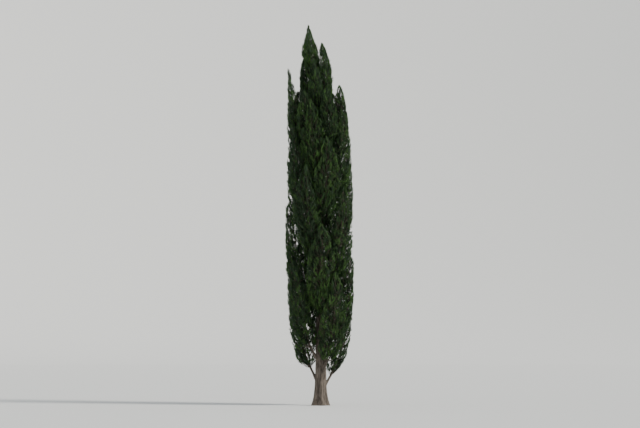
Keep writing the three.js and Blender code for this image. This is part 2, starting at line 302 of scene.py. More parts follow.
# The lights: which way the key is turned and how broad it is, in degrees, and their colours
KEY_TURN = (54, 0, 68)
KEY_BREADTH = 14
KEY_COLOUR = (1.0, 0.965, 0.9)
SKY_COLOUR = (0.86, 0.93, 1.0)


# The layout of the plumes, by the rule of the solids

def dice(seed):
    """Seeded random numbers from 0 to 1: each state is 48271 times the last, modulo 2147483647."""
    state = seed
    while True:
        state = (state * 48271) % 2147483647
        yield state / 2147483647


def axis(z):
    """The trunk's line at heights z: two slow sines, less the lean that grows with a power of the height."""
    z = np.asarray(z, float)
    share = np.clip(z - LEAN_START, 0, None) / (HEIGHT - LEAN_START)
    x = SWAY * np.sin(z / SWAY_LENGTH[0]) - LEAN * share ** LEAN_CURVE
    return np.stack([x, SWAY * np.sin(z / SWAY_LENGTH[1])], -1)


def trunk_radius(z):
    """The trunk's radius: a taper by a power of the height left, plus a flare that fades from the ground."""
    z = np.asarray(z, float)
    left = 1 - np.clip(z / TRUNK_TOP, 0, 1)
    taper = TRUNK_TOP_RADIUS + (TRUNK_FOOT_RADIUS - TRUNK_TOP_RADIUS) * left ** TRUNK_TAPER
    return taper + FLARE * np.exp(-z / FLARE_HEIGHT)


def buttress(angle, z):
    """The factor of the ribs on the trunk's radius: a cosine round it that fades with height."""
    fade = np.exp(-z / BUTTRESS_HEIGHT)
    return 1 + BUTTRESS_DEPTH * fade * np.cos(BUTTRESSES * angle + z / BUTTRESS_TWIST)


def column_radius(z):
    """The radius of the column of foliage, by straight lines between its table's rows."""
    return np.interp(z, COLUMN[:, 0], COLUMN[:, 1])


class Plume:
    """One mass of foliage: where it starts and ends, which way it swings out, and how wide it grows."""

    def __init__(self, name, foot, top, azimuth, reach, girth, belly, close, bough_top=None, offset=None):
        self.name = name
        self.foot = foot
        self.top = top
        self.azimuth = azimuth
        self.reach_out = reach
        self.widest = girth
        self.belly = belly
        self.close = close
        self.bough_top = foot if bough_top is None else bough_top
        self.offset = offset
        self.fullness = 1

    def life(self, z):
        """How far along its length the plume is at height z, from 0 to 1."""
        return np.clip((np.asarray(z, float) - self.foot) / (self.top - self.foot), 0, 1)

    def middle(self, z):
        """The plume's middle at heights z: it swings out from the trunk's line by a power of what is left.
        The leader's bows out from that line by a half sine."""
        t = self.life(z)
        if self.offset is not None:
            return axis(z) + np.stack([self.offset * np.sin(np.pi * t), 0 * t], -1)
        out = self.reach_out * (1 - (1 - t) ** CLIMB)
        way = np.array([math.cos(self.azimuth), math.sin(self.azimuth)])
        return axis(z) + out[..., None] * way

    def girth(self, z):
        """The plume's own radius: a sine that swells to the belly and closes again, each to its power."""
        t = self.life(z)
        rising = t < self.belly
        swell = np.where(rising, t / self.belly, (1 - t) / (1 - self.belly))
        power = np.where(rising, SWELL, self.close)
        return TIP_GIRTH + (self.widest - TIP_GIRTH) * np.sin(np.pi / 2 * swell) ** power

    def stem_radius(self, z):
        """The stem's radius: a straight taper from its foot to its end."""
        foot = min(STEM_FOOT_RADIUS, STEM_OF_TRUNK * float(trunk_radius(self.foot)))
        return STEM_TIP_RADIUS + np.clip((foot - STEM_TIP_RADIUS) * (1 - self.life(z) / STEM_END), 0, None)


def lay_out_plumes():
    """All the plumes, from the foot of the crown to its tip."""
    draw = dice(SEED)
    plumes = []
    for k in range(COLUMN_PLUMES):
        step = k / (COLUMN_PLUMES - 1)
        share = step - FOOT_SWING * math.sin(2 * math.pi * step)
        foot = LOWEST_FOOT + (HIGHEST_FOOT - LOWEST_FOOT) * share
        top = foot + PLUME_LENGTH + PLUME_LENGTH_SPREAD * (next(draw) - 0.5)
        turn = FIRST_AZIMUTH + GOLDEN_DEGREES * k + AZIMUTH_JITTER * (2 * next(draw) - 1)
        belly = BELLY + BELLY_SPREAD * next(draw)
        reach = float(column_radius(top)) * TIP_REACH
        girth = float(column_radius((foot + top) / 2)) * PLUME_GIRTH
        bough_top = foot + BOUGH_SHARE * (top - foot) if k < BOUGHS else foot
        plumes.append(Plume("foliage_%02d" % (k + 1), foot, top, math.radians(turn), reach, girth, belly,
                            TIP_CLOSE, bough_top))
    for name, tip, foot, girth, belly, close in STANDING_PLUMES:
        out = np.array(tip[:2]) - axis(tip[2])
        plumes.append(Plume("foliage_" + name, foot, tip[2], math.atan2(out[1], out[0]), math.hypot(*out),
                            girth, belly, close))
        plumes[-1].fullness = STANDING_DENSITY * (FULL_GIRTH / girth) ** SLENDER_POWER
    plumes.append(Plume("foliage_leader", TRUNK_TOP + JOIN_GAP, HEIGHT, 0, 0, LEADING_GIRTH, LEADING_BELLY,
                        LEADING_CLOSE, None, LEADING_OFFSET))
    plumes[-1].fullness = LEADER_DENSITY
    return plumes


PLUMES = lay_out_plumes()


def room(plume, x, y, z):
    """How far inside its plume's space a point is: the least of the distances to the plume's own circle, to
    the planes where it parts from its neighbours, to the trunk's side and to the column's wall."""
    r = plume.girth(z)
    c = plume.middle(z)
    dx, dy = x - c[..., 0], y - c[..., 1]
    least = r - np.hypot(dx, dy)
    stem = plume.stem_radius(z)
    for other in PLUMES:
        near = (z >= other.foot) & (z <= other.top + HEADROOM)
        if other is plume or not near.any():
            continue
        o = other.middle(z) - c
        apart = np.maximum(1, np.hypot(o[..., 0], o[..., 1]))
        theirs = other.girth(z)
        crossing = (apart + (r * r - theirs * theirs) / apart) / 2
        fair = np.clip(crossing, LEAST_SHARE * apart, (1 - LEAST_SHARE) * apart)
        parting = np.maximum(fair, apart - theirs)
        furthest = apart - other.stem_radius(z) - GAP
        limit = np.maximum(stem + GAP, np.minimum(furthest, parting))
        limit = limit + CLOSE_IN * np.clip(z - other.top, 0, None) - GAP / 2
        side = limit - (dx * o[..., 0] + dy * o[..., 1]) / apart
        least = np.where(near, np.minimum(least, side), least)
    a = axis(z)
    if plume.offset is None:
        out = c - a
        out = out / np.maximum(1e-6, np.hypot(out[..., 0], out[..., 1]))[..., None]
        beyond = (x - a[..., 0]) * out[..., 0] + (y - a[..., 1]) * out[..., 1]
        clear = beyond - trunk_radius(z) * (1 + BUTTRESS_DEPTH) - GAP
        least = np.where(z < TRUNK_TOP + GAP, np.minimum(least, clear), least)
    return np.minimum(least, column_radius(z) - np.hypot(x - a[..., 0], y - a[..., 1]))


@functools.lru_cache(maxsize=None)
def reach_table(plume):
    """How far the plume reaches from its middle, on a grid of heights and angles, found by halving."""
    z = np.linspace(plume.foot, plume.top, REACH_ROWS)[:, None]
    angle = np.linspace(0, 2 * np.pi, REACH_ANGLES, endpoint=False)[None, :]
    z, angle = np.broadcast_arrays(z, angle)
    c = plume.middle(z)
    inside = np.zeros(z.shape)
    outside = plume.girth(z)
    for _ in range(REACH_HALVINGS):
        half = (inside + outside) / 2
        ok = room(plume, c[..., 0] + half * np.cos(angle), c[..., 1] + half * np.sin(angle), z) > 0
        inside, outside = np.where(ok, half, inside), np.where(ok, outside, half)
    return inside


def reach(plume, z, angle):
    """The plume's reach at heights z and angles, by straight lines between the table's values."""
    table = reach_table(plume)
    row = plume.life(z) * (REACH_ROWS - 1)
    column = np.mod(angle, 2 * np.pi) / (2 * np.pi) * REACH_ANGLES
    r0 = np.minimum(row.astype(int), REACH_ROWS - 2)
    c0 = column.astype(int) % REACH_ANGLES
    c1 = (c0 + 1) % REACH_ANGLES
    u, v = row - r0, column - np.floor(column)
    low = table[r0, c0] * (1 - v) + table[r0, c1] * v
    high = table[r0 + 1, c0] * (1 - v) + table[r0 + 1, c1] * v
    return low * (1 - u) + high * u


def turned(plume, z, quantile, outward):
    """Directions at heights z that deal the plume's cross-section out evenly: each direction weighs the
    square of its reach, and more the nearer it is to the plume's own way out."""
    angle = np.linspace(0, 2 * np.pi, REACH_ANGLES + 1)[None, :]
    weight = reach(plume, z[:, None], angle) ** 2 * (1 + outward * np.cos(angle - plume.azimuth)) + 1
    total = np.cumsum(weight, 1)
    total = total / total[:, -1:]
    k = np.clip((total < quantile[:, None]).sum(1), 1, REACH_ANGLES)
    row = np.arange(len(z))
    below, above = total[row, k - 1], total[row, k]
    part = np.clip((quantile - below) / np.maximum(1e-9, above - below), 0, 1)
    return (k - 1 + part) * 2 * np.pi / REACH_ANGLES


def spot(plume, z, angle, share):
    """The points of a plume at heights z that lie at a share of its reach in the direction of angles."""
    z = np.minimum(z, plume.top)
    c = plume.middle(z)
    out = share * reach(plume, z, angle)
    return np.stack([c[..., 0] + out * np.cos(angle), c[..., 1] + out * np.sin(angle), z], -1)


# Growth: twigs from the stem, shoots from the twigs, sprays from the shoots

class Growth(NamedTuple):
    """One plume's growth: twigs as four points each, the rest as two ends each, and how far out each outer
    spray ends as a share of the plume's reach."""

    twigs: np.ndarray
    shoots: np.ndarray
    sprays: np.ndarray
    inner: np.ndarray
    stalks: np.ndarray
    depth: np.ndarray


@functools.lru_cache(maxsize=None)
def grow(index, density, spray_length):
    """A plume's growth. Twigs climb round the stem by the golden angle, closer where the plume is wide, and
    rise to a share of its reach. Shoots leave each twig and draw together into a tuft, and sprays carry the
    shoots on to the plume's surface. Shorter, denser sprays on stalks of their own fill the inside."""
    plume = PLUMES[index]
    rng = np.random.default_rng(SEED + index)
    low = plume.bough_top + TIP_ABOVE_BOUGH
    stem_end = plume.foot + STEM_END * (plume.top - plume.foot)

    # Twigs: their heights by the plume's width, their way round by the golden angle, mostly outward
    rows = np.linspace(low, plume.top, WIDTH_ROWS)
    angles = np.linspace(0, 2 * np.pi, WIDTH_ANGLES)
    width = np.mean([reach(plume, rows, angle) for angle in angles], 0) + LEAST_WIDTH
    room_for = np.mean(width ** CROWDING) * (plume.top - low) * MM ** (CROWDING + 1)
    count = int(density * plume.fullness * room_for)
    n = np.arange(count)
    crowding = np.cumsum(width ** CROWDING) / np.sum(width ** CROWDING)
    tip_z = np.interp((n + rng.random(count)) / count, crowding, rows)
    quantile = np.mod((n + 0.5) * GOLDEN_DEGREES / 360, 1)
    outward = OUTWARD if plume.offset is None else 0
    angle = turned(plume, tip_z, quantile, outward) + rng.normal(0, TWIG_JITTER, count)
    share = TWIG_END - TWIG_SHORTER * rng.random(count) ** TWIG_SHORTER_POWER
    rise = TWIG_RISE * rng.uniform(*TWIG_RISES, count)
    root_z = np.clip(tip_z - rise, plume.bough_top + ROOT_ABOVE_BOUGH, stem_end)
    root = on_stem(plume, root_z)
    tip = spot(plume, tip_z, angle, share)
    knee = spot(plume, root_z + KNEE_UP * (tip_z - root_z), angle, KNEE_OUT * share)
    before = root + KNEE_PULL * (knee - root)
    after = (knee + tip - [0, 0, 1] * (TIP_UPRIGHT * rise)[:, None]) / 2
    twigs = np.stack([root, before, after, tip], 1)

    # Shoots, which rise from the outer half of their twig
    several = (count, SHOOTS)
    u = np.linspace(SHOOT_START, 1, SHOOTS) + rng.uniform(-SHOOT_START_SPREAD, 0, several)
    root = bend(twigs, u)
    around = np.maximum(LEAST_SWING_RADIUS, share * reach(plume, tip_z, angle))[:, None]
    swing = rng.normal(0, SHOOT_SWING, several) / around
    z = tip_z[:, None] + rng.uniform(*SHOOT_RISES, several) - SHOOT_DROP * (1 - u)
    angle = angle[:, None] + np.clip(swing, -MOST_SHOOT_TURN, MOST_SHOOT_TURN)
    share = np.clip(share[:, None] + rng.uniform(*SHOOT_SHARES, several), *SHOOT_SHARE_LIMITS)
    tip = spot(plume, np.minimum(z, plume.top - SHOOT_HEADROOM), angle, share)
    shoots = np.stack([root, tip], -2).reshape(-1, 2, 3)

    # Sprays, at the end of each shoot and along it
    several = (count * SHOOTS, SPRAYS_PER_SHOOT)
    u = np.linspace(1, LOWEST_SPRAY, SPRAYS_PER_SHOOT) - rng.uniform(0, SPRAY_PLACE_SPREAD, several)
    start, end = shoots[:, None, 0], shoots[:, None, 1]
    root = start + (end - start) * u[..., None]
    length = spray_length * rng.uniform(*SPRAY_LENGTHS, several)
    z = np.minimum(root[..., 2] + length * rng.uniform(*SPRAY_RISES, several), plume.top)
    swing = rng.normal(0, SPRAY_SWING, several) / np.repeat(around, SHOOTS, 0)
    angle = angle.reshape(-1, 1) + np.clip(swing, -MOST_SPRAY_TURN, MOST_SPRAY_TURN)
    lifted = share.reshape(-1, 1) + rng.uniform(*SPRAY_LIFTS, several)
    depth = np.minimum(lifted, MOST_REACH - REACH_SPREAD * rng.random(several) ** REACH_SPREAD_POWER)
    outer = np.stack([root, spot(plume, z, angle, depth)], -2).reshape(-1, 2, 3)

    # The inner growth, on the stem all the way round
    inside = int(count * INNER_SHARE)
    z = np.interp(rng.random(inside), crowding, rows) - rng.uniform(*INNER_DROPS, inside)
    z = np.clip(z, plume.bough_top, stem_end)
    angle = turned(plume, z + INNER_LOOK_UP, rng.random(inside), 0)
    share = np.sqrt(rng.uniform(*INNER_AREAS, inside))
    tip = spot(plume, z + rng.uniform(*INNER_RISES, inside), angle, share)
    root = on_stem(plume, z) * (1 - INNER_ROOT) + tip * INNER_ROOT
    foot = on_stem(plume, np.maximum(z - STALK_RISE, plume.foot))
    stalks = np.stack([foot, root + STALK_OVERLAP * (tip - root)], 1)
    return Growth(twigs, shoots, outer, np.stack([root, tip], 1), stalks, depth.reshape(-1))


def on_stem(plume, z):
    """Points in the middle of a plume's stem at heights z."""
    c = plume.middle(z)
    return np.stack([c[..., 0], c[..., 1], z], -1)


def bend(paths, u):
    """Points on cubic curves: each of the four points of a path, times its Bernstein weight at u."""
    u = u[..., None]
    a, b, c, d = (paths[:, None, k] for k in range(4))
    return a * (1 - u) ** 3 + 3 * b * u * (1 - u) ** 2 + 3 * c * u ** 2 * (1 - u) + d * u ** 3


# Meshes from arrays

def frames(way):
    """Two unit vectors square to each way and to each other."""
    way = way / np.maximum(1e-9, np.linalg.norm(way, axis=-1))[..., None]
    helper = np.where(np.abs(way[..., 2:]) < 0.9, [[0.0, 0.0, 1.0]], [[1.0, 0.0, 0.0]])
    side = np.cross(helper, way)
    side = side / np.maximum(1e-9, np.linalg.norm(side, axis=-1))[..., None]
    return side, np.cross(way, side), way


def make_mesh(name, points, faces, materials, slots=None, smooth=False):
    """A mesh object at the origin from points in millimetres and faces of equal size."""
    mesh = bpy.data.meshes.new(name)
    faces = np.ascontiguousarray(faces, np.int32)
    count, size = faces.shape
    mesh.vertices.add(len(points))
    mesh.vertices.foreach_set("co", np.ascontiguousarray(points * MM, np.float32).ravel())
    mesh.loops.add(count * size)
    mesh.loops.foreach_set("vertex_index", faces.ravel())
    mesh.polygons.add(count)
    mesh.polygons.foreach_set("loop_start", np.arange(0, count * size, size, dtype=np.int32))
    if slots is not None:
        mesh.polygons.foreach_set("material_index", np.ascontiguousarray(slots, np.int32))
    mesh.polygons.foreach_set("use_smooth", np.full(count, smooth))
    for material in materials:
        mesh.materials.append(material)
    mesh.update(calc_edges=True)
    piece = bpy.data.objects.new(name, mesh)
    bpy.context.scene.collection.objects.link(piece)
    return piece


def unroll(piece, place):
    """Stores a place in millimetres for each point of a piece, from which its bark takes the noise."""
    unrolled = piece.data.attributes.new("unrolled", "FLOAT_VECTOR", "POINT")
    unrolled.data.foreach_set("vector", np.ascontiguousarray(place * MM, np.float32).ravel())


def turn_steps(sides):
    """The angles of equal steps round a ring."""
    return np.arange(sides) * 2 * np.pi / sides


def wall_faces(rows, sides):
    """The triangles of a wall of rings, two for each pair of neighbours in a ring and in the next one."""
    r, s = np.meshgrid(np.arange(rows - 1), np.arange(sides), indexing="ij")
    a, b = r * sides + s, r * sides + (s + 1) % sides
    return np.stack([a, b, b + sides, a, b + sides, a + sides], -1).reshape(-1, 3)


def tube_faces(rows, sides):
    """The triangles of a closed tube: its wall, and fans round the two points that follow it, the middle of
    its foot and that of its head."""
    s = np.arange(sides)
    foot, head, last = rows * sides, rows * sides + 1, (rows - 1) * sides
    feet = np.stack([np.full(sides, foot), (s + 1) % sides, s], -1)
    heads = np.stack([np.full(sides, head), last + s, last + (s + 1) % sides], -1)
    return np.concatenate([wall_faces(rows, sides), feet, heads])


def repeated(points, faces):
    """The points of many shapes as one list, with the triangles of one shape repeated for each."""
    starts = np.arange(len(points)) * points.shape[1]
    return points.reshape(-1, 3), (faces + starts[:, None, None]).reshape(-1, 3)


def tubes(paths, radii, sides):
    """Closed tubes along many paths of equal length: at every point a ring of equal steps round the path, of
    that point's radius, and a fan of faces on each end. Returns points and triangles."""
    many, rows, _ = paths.shape
    u, v, _ = frames(np.gradient(paths, axis=1))
    angle = turn_steps(sides)[:, None]
    ring = u[:, :, None] * np.cos(angle) + v[:, :, None] * np.sin(angle)
    wall = paths[:, :, None] + ring * radii[:, :, None, None]
    points = np.concatenate([wall.reshape(many, -1, 3), paths[:, :1], paths[:, -1:]], 1)
    return repeated(points, tube_faces(rows, sides))


def spikes(ends, radius):
    """Slim closed spikes of four faces: a three-sided foot square to the way, and a point at the far end."""
    u, v, _ = frames(ends[:, 1] - ends[:, 0])
    angle = turn_steps(3)[:, None]
    foot = ends[:, :1] + radius * (u[:, None] * np.cos(angle) + v[:, None] * np.sin(angle))
    faces = np.array([[0, 1, 3], [1, 2, 3], [2, 0, 3], [2, 1, 0]])
    return repeated(np.concatenate([foot, ends[:, 1:]], 1), faces)


def blades(ends, width):
    """Slim closed leaves of four faces, pointed at both ends: the two sides stand out by the width at the
    leaf's belly, and are raised from the line between its ends, which makes a keel."""
    way = ends[:, 1] - ends[:, 0]
    u, v, _ = frames(way)
    belly = ends[:, 0] + BLADE_BELLY * way + BLADE_KEEL * width[:, None] * v
    side = width[:, None] * u
    faces = np.array([[0, 1, 2], [0, 2, 3], [2, 1, 3], [0, 3, 1]])
    return repeated(np.stack([ends[:, 0], belly - side, belly + side, ends[:, 1]], 1), faces)


def spray_templates(count, width):
    """Sprays one long: a blade along the middle, and shorter ones that leave it by the golden angle at a
    seeded lean, shorter still towards the tip."""
    rng = np.random.default_rng(SEED)
    made = []
    for _ in range(SPRAY_TEMPLATES):
        k = np.arange(count - 1)
        up = BLADE_FOOT + BLADE_SPAN * (k + rng.random(len(k)) * BLADE_PLACE_SPREAD) / len(k)
        turn = k * math.radians(GOLDEN_DEGREES) + rng.normal(0, BLADE_TURN_SPREAD, len(k))
        lean = np.radians(rng.uniform(*BLADE_LEANS, len(k)))
        long = (BLADE_LONGEST - BLADE_SHORTENING * up) * rng.uniform(*BLADE_LENGTHS, len(k))
        start = np.stack([0 * up, 0 * up, up], -1)
        out = np.stack([np.sin(lean) * np.cos(turn), np.sin(lean) * np.sin(turn), np.cos(lean)], -1)
        ends = np.stack([start, start + out * long[:, None]], 1)
        ends = np.concatenate([[[[0, 0, 0], [0, 0, 1]]], ends])
        widths = np.append(MIDDLE_BLADE_WIDTH, rng.uniform(*BLADE_WIDTHS, len(k)))
        made.append(blades(ends, width * widths)[0])
    return np.stack(made)


def kept_in(points):
    """Points drawn in towards the column's wall: past it, the distance grows ever slower up to a limit, by a
    hyperbolic tangent."""
    a = axis(points[..., 2])
    out = points[..., :2] - a
    far = np.hypot(out[..., 0], out[..., 1])
    beyond = np.clip(far - column_radius(points[..., 2]), 0, None)
    near = far - beyond + OVERHANG * np.tanh(beyond / OVERHANG)
    return np.concatenate([a + out * (near / np.maximum(1, far))[..., None], points[..., 2:]], -1)


def sprays(ends, count, width, rng):
    """Sprays between pairs of ends, as points and triangles: a template each, stretched to the spray's
    length, turned about its way by chance and laid along it."""
    way = ends[:, 1] - ends[:, 0]
    length = np.maximum(SHORTEST_SPRAY, np.linalg.norm(way, axis=-1))
    u, v, w = frames(way)
    roll = rng.uniform(0, 2 * np.pi, len(ends))[:, None]
    u, v = u * np.cos(roll) + v * np.sin(roll), v * np.cos(roll) - u * np.sin(roll)
    basis = np.stack([u, v, w], 1) * length[:, None, None]
    shape = spray_templates(count, width)[rng.integers(0, SPRAY_TEMPLATES, len(ends))]
    points = kept_in(ends[:, :1] + np.einsum("npk,nkd->npd", shape, basis))
    return repeated(points, blades(np.zeros((count, 2, 3)), np.zeros(count))[1])


def joined(parts):
    """Several arrays of points and triangles as one."""
    starts = np.cumsum([0] + [len(points) for points, _ in parts])
    return (np.concatenate([points for points, _ in parts]),
            np.concatenate([faces + start for (_, faces), start in zip(parts, starts)]))


def ripple(angle, z, count, length, seed):
    """Smooth noise from 0 to 1 that closes round the trunk: seeded values on a net of count cells round it
    and one cell for each length up it, joined by cosine steps."""
    rng = np.random.default_rng(seed)
    rows = int(TRUNK_TOP / length) + 3
    net = rng.random((rows, count))
    a = np.mod(angle / (2 * np.pi), 1) * count
    h = np.clip(z / length, 0, rows - 2)
    a0, h0 = a.astype(int) % count, h.astype(int)
    a1 = (a0 + 1) % count
    u = (1 - np.cos(np.pi * (a - np.floor(a)))) / 2
    v = (1 - np.cos(np.pi * (h - np.floor(h)))) / 2
    low = net[h0, a0] * (1 - u) + net[h0, a1] * u
    high = net[h0 + 1, a0] * (1 - u) + net[h0 + 1, a1] * u
    return low * (1 - v) + high * v


def bark_strips(angle, z):
    """How high the bark stands, from 0 in a furrow to 1 on a strip: the furrows are the lines along which
    stretched noise crosses its middle, in three sizes, the finest weakest. Two sines make them wander."""
    wander = sum(swing * np.sin(z / length + phase) for swing, length, phase in BARK_WANDER)
    total = 0
    for count, length, width, weight in BARK_FURROWS:
        noise = ripple(angle + wander, z, count, length, SEED + count)
        total = total + weight * np.clip(np.abs(2 * noise - 1) / width, 0, 1) ** BARK_STRIP_POWER
    return total


# Materials

class Wire:
    """A node's output in a material. Sums, products and powers of it add their own nodes."""

    def __init__(self, paint, socket):
        self.paint = paint
        self.socket = socket

    def _with(self, operation, first, second):
        """The output of a new node that works out an operation on two values."""
        return self.paint.node("ShaderNodeMath", {"operation": operation}, {0: first, 1: second})

    def __add__(self, other):
        return self._with("ADD", self, other)

    __radd__ = __add__

    def __sub__(self, other):
        return self._with("SUBTRACT", self, other)

    def __rsub__(self, other):
        return self._with("SUBTRACT", other, self)

    def __mul__(self, other):
        return self._with("MULTIPLY", self, other)

    __rmul__ = __mul__

    def __pow__(self, other):
        return self._with("POWER", self, other)

    def __rpow__(self, other):
        return self._with("POWER", other, self)


class Paint:
    """A material made of nodes."""

    def __init__(self, name):
        self.material = bpy.data.materials.new(name)
        self.material.use_nodes = True
        self.tree = self.material.node_tree
        self.shader = self.tree.nodes["Principled BSDF"]

    def node(self, kind, settings=None, sockets=None, output=0):
        """A node of a kind: its settings first, then the values or links of its sockets."""
        made = self.tree.nodes.new(kind)
        for key, value in (settings or {}).items():
            if key == "stops":
                ramp = made.color_ramp
                while len(ramp.elements) < len(value):
                    ramp.elements.new(0.5)
                for element, (place, colour) in zip(ramp.elements, value):
                    element.position = place
                    element.color = (*colour, 1)
            else:
                setattr(made, key, value)
        for key, value in (sockets or {}).items():
            if isinstance(value, Wire):
                self.tree.links.new(value.socket, made.inputs[key])
            else:
                made.inputs[key].default_value = value
        return Wire(self, made.outputs[output])

    def feed(self, name, value):
        """Sets the shader's own socket, or links what varies to it."""
        if isinstance(value, Wire):
            self.tree.links.new(value.socket, self.shader.inputs[name])
        else:
            self.shader.inputs[name].default_value = value


def bark_paint(name, light, dark, grain, unrolled=False, furrows=False):
    """Fibrous grey-brown bark: dark lines where stretched noise crosses its middle part it into strips, a
    finer noise gives their fibres, and a broad one its patches. An unrolled mesh has its own place for the
    noise, straight along the wood, and one with furrows is darker in them too."""
    paint = Paint(name)
    if unrolled:
        place = paint.node("ShaderNodeAttribute", {"attribute_name": "unrolled"}, output="Vector")
    else:
        place = paint.node("ShaderNodeTexCoord", output="Object")
    size = (grain, grain, grain * STRIP_STRETCH)
    strips = paint.node("ShaderNodeMapping", {}, {"Vector": place, "Scale": size})
    strip = paint.node("ShaderNodeTexNoise", {}, {"Vector": strips, "Scale": 1.0, "Detail": 3.0,
                                                  "Roughness": 0.55, "Distortion": 0.25})
    line = ((strip - 0.5) * (strip - 0.5)) ** 0.5 * STRIP_SHARPNESS
    edge = paint.node("ShaderNodeMath", {"operation": "MINIMUM"}, {0: line, 1: 1.0})
    size = (grain * FIBRE_FINENESS, grain * FIBRE_FINENESS, grain * FIBRE_STRETCH)
    fibres = paint.node("ShaderNodeMapping", {}, {"Vector": place, "Scale": size})
    fibre = paint.node("ShaderNodeTexNoise", {}, {"Vector": fibres, "Scale": 1.0, "Detail": 4.0,
                                                  "Roughness": 0.6})
    patch = paint.node("ShaderNodeTexNoise", {}, {"Vector": place, "Scale": PATCH_SCALE, "Detail": 2.0})
    level = edge * STRIP_LEVEL + fibre * FIBRE_LEVEL + patch * PATCH_LEVEL - LEVEL_DROP
    if furrows:
        height = paint.node("ShaderNodeAttribute", {"attribute_name": "furrow"}, output="Fac")
        level = level + height * FURROW_LEVEL - FURROW_DROP
    middle = tuple(0.5 * (a + b) for a, b in zip(light, dark))
    pale = tuple(min(1, PALER * a) for a in light)
    stops = list(zip(BARK_STOPS, (dark, middle, light, pale)))
    colour = paint.node("ShaderNodeValToRGB", {"stops": stops}, {"Fac": level})
    paint.feed("Base Color", colour)
    paint.feed("Roughness", 0.98 - level * 0.22)
    bump = paint.node("ShaderNodeBump", {}, {"Height": level, "Strength": 1.0, "Distance": 0.01})
    paint.feed("Normal", bump)
    return paint.material


def leaf_paint(name, colour):
    """Scale leaves: one plain green, nearly matt, with a faint waxy sheen."""
    paint = Paint(name)
    paint.feed("Base Color", (*colour, 1))
    paint.feed("Roughness", 0.72)
    paint.feed("Specular IOR Level", 0.28)
    paint.material.diffuse_color = (*colour, 1)
    return paint.material


# Settings

def colour_setting(name, description, value):
    """A colour that a user may change."""
    return bpy.props.FloatVectorProperty(name=name, description=description, default=value, size=3,
                                         subtype="COLOR", min=0, max=1)


class TreeSettings(bpy.types.PropertyGroup):
    """Sizes and colours of the tree."""

    bark_depth: bpy.props.FloatProperty(
        name="Bark depth", description="Depth of the furrows in the bark", default=0.02, min=0,
        unit="LENGTH")
    bark_light: colour_setting("Bark", "Colour of the bark's strips", (0.152, 0.126, 0.102))
    bark_dark: colour_setting("Furrows", "Colour between the bark's strips", (0.036, 0.026, 0.019))
    twig_light: colour_setting("Twigs", "Colour of young bark", (0.1, 0.08, 0.055))
    twig_dark: colour_setting("Twig shade", "Darker colour of young bark", (0.04, 0.03, 0.021))
    twig_density: bpy.props.FloatProperty(
        name="Twig density", description="How many twigs a plume bears for its width and length",
        default=160, min=1)
    spray_length: bpy.props.FloatProperty(
        name="Spray length", description="Length of a spray of leaves", default=0.185, min=0.05,
        unit="LENGTH")
    # The greens from shade to fresh are shaded and lit copies of one green, dealt by how far out a spray
    # ends: painted shade inside the crown and painted light outside, along with older foliage inside and
    # young tips outside
    shade: colour_setting("Shade green", "Inner foliage", (0.012, 0.026, 0.011))
    deep: colour_setting("Deep green", "Older foliage", (0.018, 0.042, 0.015))
    mid: colour_setting("Middle green", "Most of the foliage", (0.025, 0.06, 0.019))
    olive: colour_setting("Olive green", "Foliage turned to the light", (0.041, 0.09, 0.022))
    fresh: colour_setting("Fresh green", "Young tips", (0.058, 0.128, 0.03))
    grey: colour_setting("Grey green", "Foliage with a waxy bloom", (0.037, 0.068, 0.034))


class StageSettings(bpy.types.PropertyGroup):
    """The floor, the light and the camera."""

    floor_colour: colour_setting("Floor", "Colour of the floor", (0.74, 0.74, 0.72))
    key_strength: bpy.props.FloatProperty(
        name="Key light", description="Strength of the light from the right", default=4.0, min=0)
    fill_strength: bpy.props.FloatProperty(
        name="Fill light", description="Strength of the light from all round", default=0.64, min=0)
    camera_distance: bpy.props.FloatProperty(
        name="Camera distance", description="From the camera to the trunk", default=62, min=1,
        unit="LENGTH")
    camera_height: bpy.props.FloatProperty(
        name="Camera height", description="Height of the camera above the ground", default=2.2, min=0,
        unit="LENGTH")
    lens: bpy.props.FloatProperty(
        name="Lens", description="Focal length in millimetres", default=111, min=10, unit="CAMERA")


# Operators

class CYPRESS_OT_trunk(bpy.types.Operator):
    """Makes the trunk with its furrowed bark"""

    bl_idname = "cypress.trunk"
    bl_label = "Trunk"

    def execute(self, context):
        tree = context.scene.cypress_tree
        heights = np.concatenate([np.linspace(0, BARK_FINE_TOP, BARK_FINE_ROWS, endpoint=False),
                                  np.linspace(BARK_FINE_TOP, TRUNK_TOP, BARK_HIGH_ROWS)])

        # The wall's radius: the trunk's, times its ribs, plus the bark's height, less where the trunk thins
        z, a = np.meshgrid(heights, turn_steps(BARK_AROUND), indexing="ij")
        fade = np.clip(trunk_radius(z) / FULL_BARK_RADIUS, LEAST_BARK, 1)
        strips = bark_strips(a, z)
        r = trunk_radius(z) * buttress(a, z) + fade * tree.bark_depth / MM * (strips - BARK_LEVEL)
        c = axis(z)
        wall = np.stack([c[..., 0] + r * np.cos(a), c[..., 1] + r * np.sin(a), z], -1)
        ends = np.array([[*axis(0), 0], [*axis(TRUNK_TOP), TRUNK_TOP]], float)
        points = np.concatenate([wall.reshape(-1, 3), ends])
        faces = tube_faces(len(heights), BARK_AROUND)
        paint = bark_paint("bark", tree.bark_light, tree.bark_dark, TRUNK_GRAIN, unrolled=True, furrows=True)
        piece = make_mesh("trunk_bark", points, faces, [paint], smooth=True)
        furrow = piece.data.attributes.new("furrow", "FLOAT", "POINT")
        furrow.data.foreach_set("value", np.append(strips.ravel(), [0.5, 0.5]).astype(np.float32))
        place = np.stack([UNROLLED_RADIUS * np.cos(a), UNROLLED_RADIUS * np.sin(a), z], -1)
        unroll(piece, np.concatenate([place.reshape(-1, 3), ends]))
        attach(piece, "root")
        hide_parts("trunk")
        return {"FINISHED"}


